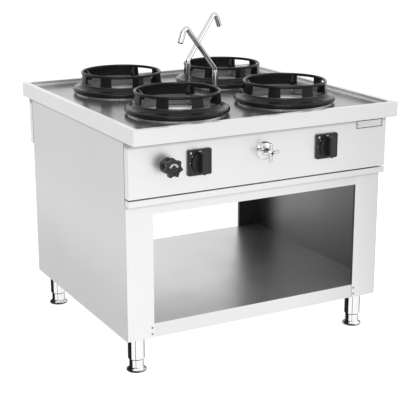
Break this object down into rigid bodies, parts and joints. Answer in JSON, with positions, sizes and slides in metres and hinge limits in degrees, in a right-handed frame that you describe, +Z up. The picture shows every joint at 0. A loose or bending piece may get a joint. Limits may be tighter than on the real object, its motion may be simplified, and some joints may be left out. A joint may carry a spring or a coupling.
{
  "type": "wok range",
  "caption": "Free-standing stainless gas wok range worked from both sides: recessed top with cast rings, swivel water faucets, knobs on each panel and an open storage base on round legs.",
  "frame": {"origin": "centre of the footprint on the floor, under the feet", "axes": "+X to the right of a person who faces the front panel, +Y from the front panel to the rear panel, +Z up"},
  "size_m": [1, 1, 1.1102],
  "materials": {
    "ring_enamel": "gloss black enamel",
    "switch_plate": "black",
    "knob_black": "black",
    "wheel_black": "black",
    "bezel_black": "black",
    "chrome": "polished",
    "leg_chrome": "polished",
    "hob_steel": "brushed",
    "pan_steel": "brushed",
    "seat_steel": "pressed",
    "panel_steel": "brushed",
    "trim_steel": "brushed",
    "side_steel": "brushed",
    "frame_steel": "brushed",
    "floor_steel": "brushed",
    "inner_steel": "mill finish",
    "screw_steel": "bright",
    "plate_metal": "satin",
    "insert_plastic": "black",
    "bowl_steel": "pressed",
    "burner_iron": "as cast",
    "brass": "machined",
    "gas_pipe": "yellow paint",
    "pipe_steel": "drawn"
  },
  "bodies": {
    "cabinet": {"base_gussets": "inner_steel", "bottom_rail_front": "frame_steel", "bottom_rail_rear": "frame_steel", "burner_bowls": "bowl_steel", "burner_heads": "burner_iron", "control_panel_front": "panel_steel", "control_panel_rear": "panel_steel", "drain_pipe": "pipe_steel", "faucet_riser_front": "chrome", "faucet_riser_rear": "chrome", "gas_manifold": "gas_pipe", "gas_valves": "brass", "heat_shield": "inner_steel", "hob_frame": "hob_steel", "hob_pan": "pan_steel", "leg_inserts": "insert_plastic", "leg_tubes": "leg_chrome", "mixing_tubes": "burner_iron", "nameplate": "plate_metal", "pilot_tubes": "pipe_steel", "rail_screws": "screw_steel", "ring_seats": "seat_steel", "side_panel_left": "side_steel", "side_panel_right": "side_steel", "star_valve_front": "bezel_black", "star_valve_rear": "bezel_black", "stile_front_left": "frame_steel", "stile_front_right": "frame_steel", "stile_rear_left": "frame_steel", "stile_rear_right": "frame_steel", "storage_floor": "floor_steel", "switch_plate_front_left": "switch_plate", "switch_plate_front_right": "switch_plate", "switch_plate_rear_left": "switch_plate", "switch_plate_rear_right": "switch_plate", "top_rail_front": "frame_steel", "top_rail_rear": "frame_steel", "trim_rail_front": "trim_steel", "trim_rail_rear": "trim_steel", "water_pipes": "pipe_steel", "water_tap_front": "chrome", "water_tap_rear": "chrome"},
    "wok_ring_fl": {"wok_ring_fl": "ring_enamel"},
    "wok_ring_fr": {"wok_ring_fr": "ring_enamel"},
    "wok_ring_rl": {"wok_ring_rl": "ring_enamel"},
    "wok_ring_rr": {"wok_ring_rr": "ring_enamel"},
    "spout_front": {"faucet_spout_front": "chrome"},
    "knob_front_left": {"switch_knob_front_left": "knob_black"},
    "knob_front_right": {"switch_knob_front_right": "knob_black"},
    "star_front": {"star_wheel_front": "wheel_black"},
    "tap_handle_front": {"cross_handle_front": "chrome"},
    "spout_rear": {"faucet_spout_rear": "chrome"},
    "knob_rear_left": {"switch_knob_rear_left": "knob_black"},
    "knob_rear_right": {"switch_knob_rear_right": "knob_black"},
    "star_rear": {"star_wheel_rear": "wheel_black"},
    "tap_handle_rear": {"cross_handle_rear": "chrome"},
    "foot_fl": {"foot_fl": "leg_chrome"},
    "foot_fr": {"foot_fr": "leg_chrome"},
    "foot_rl": {"foot_rl": "leg_chrome"},
    "foot_rr": {"foot_rr": "leg_chrome"}
  },
  "joints": [
    {"name": "ring_fl_lift", "type": "slide", "parent": "cabinet", "child": "wok_ring_fl", "axis": [0, 0, 1], "range_m": [0, 0.09]},
    {"name": "ring_fr_lift", "type": "slide", "parent": "cabinet", "child": "wok_ring_fr", "axis": [0, 0, 1], "range_m": [0, 0.09]},
    {"name": "ring_rl_lift", "type": "slide", "parent": "cabinet", "child": "wok_ring_rl", "axis": [0, 0, 1], "range_m": [0, 0.09]},
    {"name": "ring_rr_lift", "type": "slide", "parent": "cabinet", "child": "wok_ring_rr", "axis": [0, 0, 1], "range_m": [0, 0.09]},
    {"name": "spout_front_swivel", "type": "hinge", "parent": "cabinet", "child": "spout_front", "pos_m": [0, -0.103, 0.938], "axis": [0, 0, 1], "range_deg": [-20, 150]},
    {"name": "knob_front_left_turn", "type": "hinge", "parent": "cabinet", "child": "knob_front_left", "pos_m": [-0.245, -0.445, 0.713], "axis": [0, -1, 0], "range_deg": [0, 90]},
    {"name": "knob_front_right_turn", "type": "hinge", "parent": "cabinet", "child": "knob_front_right", "pos_m": [0.245, -0.445, 0.713], "axis": [0, -1, 0], "range_deg": [0, 90]},
    {"name": "star_front_turn", "type": "hinge", "parent": "cabinet", "child": "star_front", "pos_m": [-0.36, -0.445, 0.715], "axis": [0, -1, 0], "range_deg": [0, 720]},
    {"name": "tap_handle_front_turn", "type": "hinge", "parent": "cabinet", "child": "tap_handle_front", "pos_m": [0, -0.445, 0.723], "axis": [0, -1, 0], "range_deg": [0, 90]},
    {"name": "spout_rear_swivel", "type": "hinge", "parent": "cabinet", "child": "spout_rear", "pos_m": [0, 0.103, 0.938], "axis": [0, 0, 1], "range_deg": [-20, 150]},
    {"name": "knob_rear_left_turn", "type": "hinge", "parent": "cabinet", "child": "knob_rear_left", "pos_m": [0.245, 0.445, 0.713], "axis": [0, 1, 0], "range_deg": [0, 90]},
    {"name": "knob_rear_right_turn", "type": "hinge", "parent": "cabinet", "child": "knob_rear_right", "pos_m": [-0.245, 0.445, 0.713], "axis": [0, 1, 0], "range_deg": [0, 90]},
    {"name": "star_rear_turn", "type": "hinge", "parent": "cabinet", "child": "star_rear", "pos_m": [0.36, 0.445, 0.715], "axis": [0, 1, 0], "range_deg": [0, 720]},
    {"name": "tap_handle_rear_turn", "type": "hinge", "parent": "cabinet", "child": "tap_handle_rear", "pos_m": [0, 0.445, 0.723], "axis": [0, 1, 0], "range_deg": [0, 90]},
    {"name": "foot_fl_adjust", "type": "slide", "parent": "cabinet", "child": "foot_fl", "axis": [0, 0, -1], "range_m": [0, 0.025]},
    {"name": "foot_fr_adjust", "type": "slide", "parent": "cabinet", "child": "foot_fr", "axis": [0, 0, -1], "range_m": [0, 0.025]},
    {"name": "foot_rl_adjust", "type": "slide", "parent": "cabinet", "child": "foot_rl", "axis": [0, 0, -1], "range_m": [0, 0.025]},
    {"name": "foot_rr_adjust", "type": "slide", "parent": "cabinet", "child": "foot_rr", "axis": [0, 0, -1], "range_m": [0, 0.025]}
  ]
}
